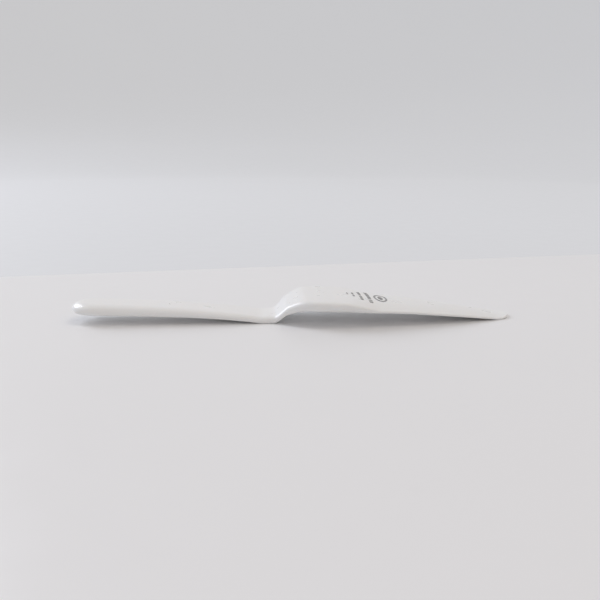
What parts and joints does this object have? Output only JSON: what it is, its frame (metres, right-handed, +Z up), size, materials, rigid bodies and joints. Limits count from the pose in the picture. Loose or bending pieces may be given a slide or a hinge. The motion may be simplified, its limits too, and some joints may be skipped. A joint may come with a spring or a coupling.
{
  "type": "bone folder",
  "caption": "Cranked plastic paper folder: flat round-ended handle stepping up through an S-shaped crank to a broad, thin-edged blade that slopes to a rounded tip",
  "frame": {"origin": "centre of the tool's box in plan, on the table plane it rests on", "axes": "+X along the tool towards the blade's tip, +Y across it, +Z up from the table"},
  "size_m": [0.18, 0.0344, 0.0104],
  "materials": {
    "white_plastic": "smooth moulded white, soft gloss",
    "grey_ink": "thin pad-printed grey ink"
  },
  "bodies": {
    "root": {"folder_body": "white_plastic", "print_bar_1": "grey_ink", "print_bar_2": "grey_ink", "print_bar_3": "grey_ink", "print_bar_4": "grey_ink", "print_bar_5": "grey_ink", "print_bar_6": "grey_ink", "print_bar_7": "grey_ink", "print_oval": "grey_ink", "print_oval_core": "grey_ink"}
  },
  "joints": []
}
